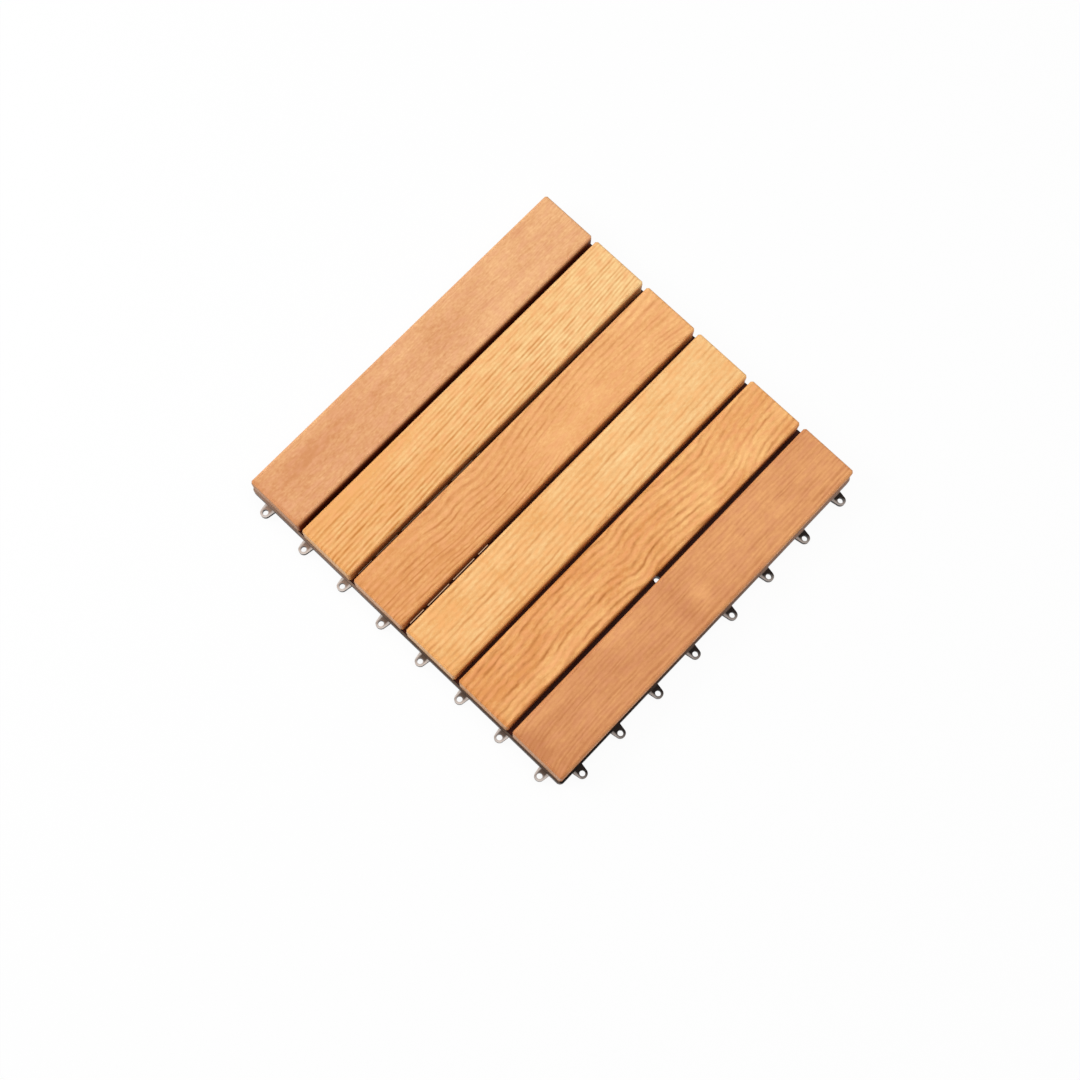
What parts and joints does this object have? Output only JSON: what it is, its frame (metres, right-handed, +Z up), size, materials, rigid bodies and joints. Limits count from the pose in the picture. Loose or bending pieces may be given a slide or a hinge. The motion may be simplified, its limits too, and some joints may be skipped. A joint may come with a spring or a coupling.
{
  "type": "interlocking deck tile",
  "caption": "Square deck tile of timber slats on a moulded plastic grid, with rows of loops on two sides that the pins of the next tiles drop into.",
  "frame": {"origin": "middle of the tile on the ground, in the underside of the middle cross rib", "axes": "+Z up through the slats, +Y along the slats towards the back pin side, +X across the slats towards the right loop side"},
  "size_m": [0.3063, 0.3063, 0.024],
  "materials": {
    "thermo_timber": "satin, planed",
    "black_plastic": "semi-gloss moulded",
    "screw_steel": "zinc plated"
  },
  "bodies": {
    "root": {"base_grid": "black_plastic", "slat_1": "thermo_timber", "slat_2": "thermo_timber", "slat_3": "thermo_timber", "slat_4": "thermo_timber", "slat_5": "thermo_timber", "slat_6": "thermo_timber", "screws": "screw_steel"}
  },
  "joints": []
}
